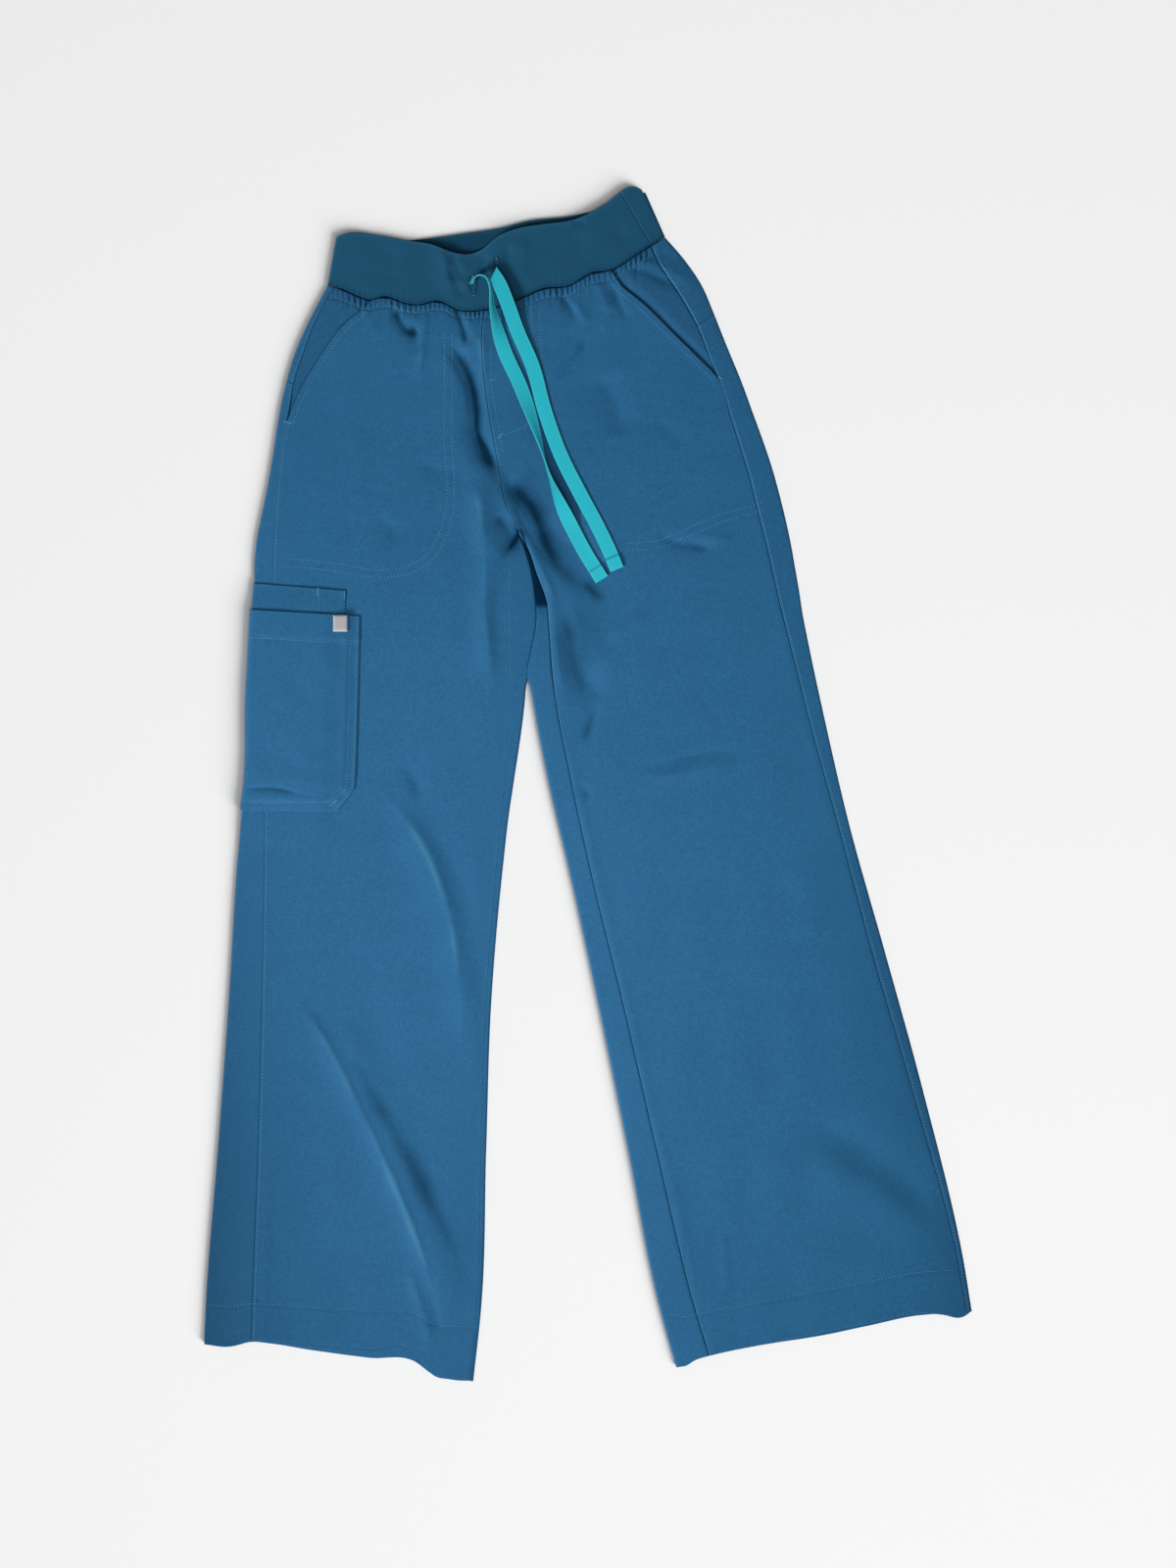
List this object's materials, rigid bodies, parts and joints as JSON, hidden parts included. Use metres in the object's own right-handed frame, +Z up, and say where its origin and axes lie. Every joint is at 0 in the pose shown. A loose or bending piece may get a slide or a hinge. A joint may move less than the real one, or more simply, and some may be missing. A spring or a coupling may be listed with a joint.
{
  "type": "scrub trousers laid flat",
  "caption": "Wide-leg medical scrub trousers laid flat, with a knit waistband, flat drawstring, slant hip pockets and a cargo pocket on the wearer's right thigh.",
  "frame": {"origin": "middle of the laid-out outline, on the surface that the garment lies on", "axes": "+X across the garment towards the wearer's left, +Y from the hems to the waist, +Z up from the surface, out of the front"},
  "size_m": [0.6924, 1.0769, 0.0202],
  "materials": {
    "twill_cloth": "smooth stretch twill, slight sheen",
    "waist_knit": "smooth doubled jersey knit, matte",
    "pocket_facing": "the same twill, seen inside the slant pockets' mouths",
    "drawstring_tape": "flat woven tape, satin",
    "woven_tab": "folded woven tab, matte, bare"
  },
  "bodies": {
    "root": {"waistband_front": "waist_knit", "waistband_back": "waist_knit", "front_right": "twill_cloth", "front_left": "twill_cloth", "hip_facing_right": "pocket_facing", "hip_facing_left": "pocket_facing", "back_right": "twill_cloth", "back_left": "twill_cloth", "back_yoke_right": "twill_cloth", "back_yoke_left": "twill_cloth", "cargo_pocket": "twill_cloth", "cargo_pen_pocket": "twill_cloth", "pocket_tab": "woven_tab", "drawstring_right": "drawstring_tape", "drawstring_left": "drawstring_tape"}
  },
  "joints": []
}
